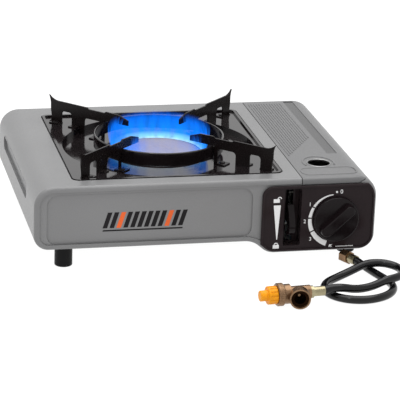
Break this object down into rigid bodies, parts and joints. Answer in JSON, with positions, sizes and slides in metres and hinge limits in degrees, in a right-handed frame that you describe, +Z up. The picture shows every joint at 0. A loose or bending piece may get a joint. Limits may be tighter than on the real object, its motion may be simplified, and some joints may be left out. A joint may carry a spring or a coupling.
{
  "type": "camp stove",
  "caption": "Portable gas camp stove: steel body, hinged cartridge bay lid, ringed burner under raised pan supports, control knob, cartridge lever and a loose gas adapter hose.",
  "frame": {"origin": "on the ground, under the middle of the stove's box measured without the loose hose and adapter", "axes": "+X to the right as seen by the user, along the width; +Y to the rear; +Z up"},
  "size_m": [0.3532, 0.3943, 0.112],
  "materials": {
    "body_paint": "satin grey powder coat",
    "zinc_steel": "zinc plated",
    "black_plastic": "gloss, moulded",
    "black_enamel": "gloss vitreous enamel",
    "black_rubber": "smooth",
    "cast_aluminium": "as cast",
    "burner_steel": "satin, heat tinted",
    "brass": "machined",
    "orange_plastic": "moulded",
    "white_ceramic": "glazed ceramic"
  },
  "bodies": {
    "base": {"outer_shell": "body_paint", "front_plate": "body_paint", "rear_plate": "body_paint", "bottom_plate": "zinc_steel", "compartment_wall": "zinc_steel", "control_bezel": "black_plastic", "bezel_screws": "zinc_steel", "body_hinge_leaf": "zinc_steel", "hinge_pin": "zinc_steel", "cartridge_cradle": "zinc_steel", "foot_front_left": "black_rubber", "foot_rear_left": "black_rubber", "foot_front_right": "black_rubber", "foot_rear_right": "black_rubber", "foot_screws": "zinc_steel", "valve_body": "brass", "regulator_body": "cast_aluminium", "regulator_cap": "cast_aluminium", "regulator_diaphragm": "black_rubber", "regulator_spring": "zinc_steel", "cartridge_connector": "brass", "connector_seal": "black_rubber", "propane_inlet": "zinc_steel", "gas_pipe": "zinc_steel", "gas_jet": "brass", "jet_bracket": "zinc_steel", "mixing_tube": "cast_aluminium", "burner_base": "cast_aluminium", "burner_ring": "zinc_steel", "burner_cap": "burner_steel", "burner_bracket": "zinc_steel", "piezo_igniter": "black_plastic", "igniter_electrode": "white_ceramic", "ignition_lead": "black_rubber", "lever_bracket": "zinc_steel", "lever_pivot": "zinc_steel", "adapter_cap": "orange_plastic", "adapter_collar": "brass", "adapter_body": "brass", "adapter_ferrule": "brass", "hose": "black_rubber", "end_ferrule": "brass"},
    "lid": {"lid": "body_paint", "lid_hinge_leaf": "zinc_steel"},
    "knob": {"control_knob": "black_plastic", "valve_stem": "zinc_steel"},
    "lever": {"cartridge_lever": "black_plastic"},
    "slider": {"cartridge_slider": "zinc_steel"},
    "tray": {"drip_tray": "black_enamel", "wind_ring": "black_enamel", "support_arm_rear_right": "black_enamel", "support_arm_rear_left": "black_enamel", "support_arm_front_left": "black_enamel", "support_arm_front_right": "black_enamel", "arm_rivets": "zinc_steel"},
    "nut": {"swivel_nut": "brass"}
  },
  "joints": [
    {"name": "lid_hinge", "type": "hinge", "parent": "base", "child": "lid", "pos_m": [0.1688, 0.007, 0.05], "axis": [0, 1, 0], "range_deg": [0, 95]},
    {"name": "knob_turn", "type": "hinge", "parent": "base", "child": "knob", "pos_m": [0.1295, -0.13, 0.0425], "axis": [0, -1, 0], "range_deg": [-132, 33]},
    {"name": "slider_shift", "type": "slide", "parent": "base", "child": "slider", "axis": [0, 1, 0], "range_m": [0, 0.0062]},
    {"name": "lever_turn", "type": "hinge", "parent": "base", "child": "lever", "pos_m": [0.085, -0.092, 0.046], "axis": [-1, 0, 0], "range_deg": [0, 25]},
    {"name": "tray_lift", "type": "slide", "parent": "base", "child": "tray", "axis": [0, 0, 1], "range_m": [0, 0.06]},
    {"name": "nut_spin", "type": "hinge", "parent": "base", "child": "nut", "pos_m": [0.1386, -0.14005, 0.007], "axis": [-0.4572, 0.8894, 0], "continuous": true}
  ],
  "couplings": [
    {"joint": "lever_turn", "follows": "slider_shift", "rad_per_m": 70.3}
  ]
}
